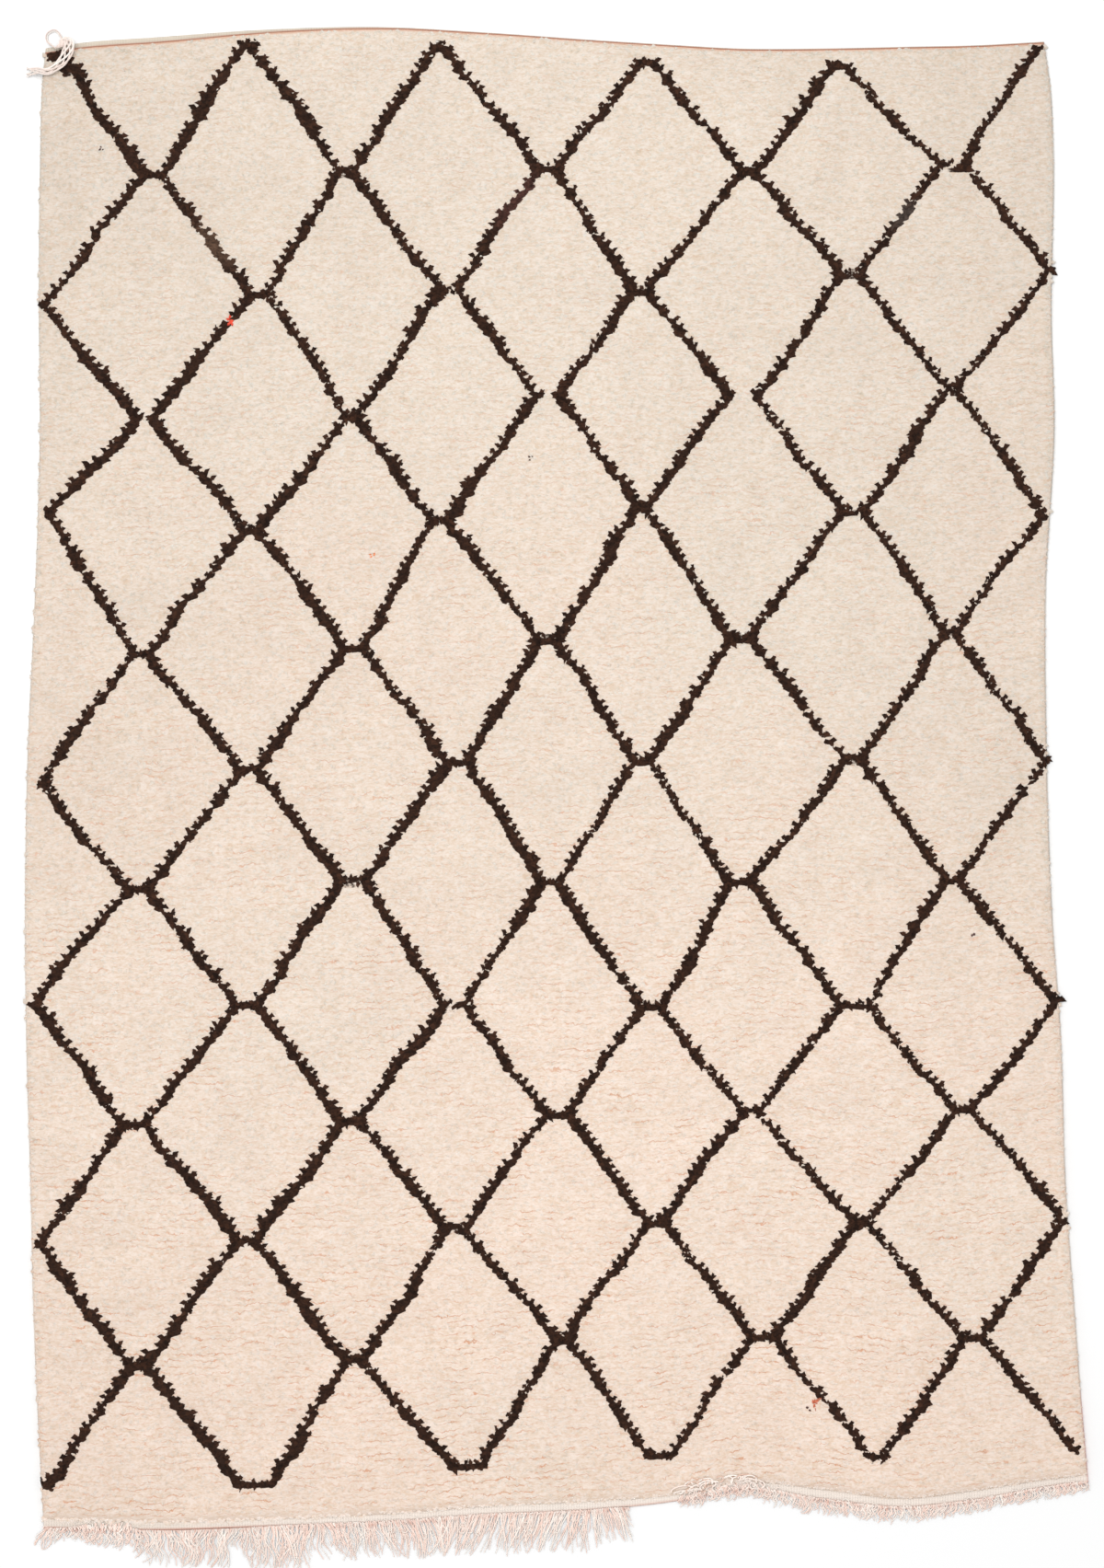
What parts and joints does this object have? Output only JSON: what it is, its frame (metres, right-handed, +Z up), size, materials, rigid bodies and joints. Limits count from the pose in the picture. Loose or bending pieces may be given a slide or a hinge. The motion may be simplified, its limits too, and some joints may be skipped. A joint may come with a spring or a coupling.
{
  "type": "beni ourain rug",
  "caption": "Hand-knotted shag rug in ivory wool with a dark diamond trellis, lying flat, with a fringed lower end and a tail of yarn at one corner.",
  "frame": {"origin": "centre of the whole part's box, on the floor that the rug lies on", "axes": "+X across the rug to the right, +Y along its length away from the fringed end, +Z up out of the pile"},
  "size_m": [2.098, 3.03, 0.0244],
  "materials": {
    "pile": "matt knotted wool pile, ivory with a near-black trellis",
    "warp_yarn": "matt twisted wool yarn, undyed with a pinkish cast"
  },
  "bodies": {
    "root": {"rug": "pile", "fringe": "warp_yarn", "corner_tail": "warp_yarn"}
  },
  "joints": []
}
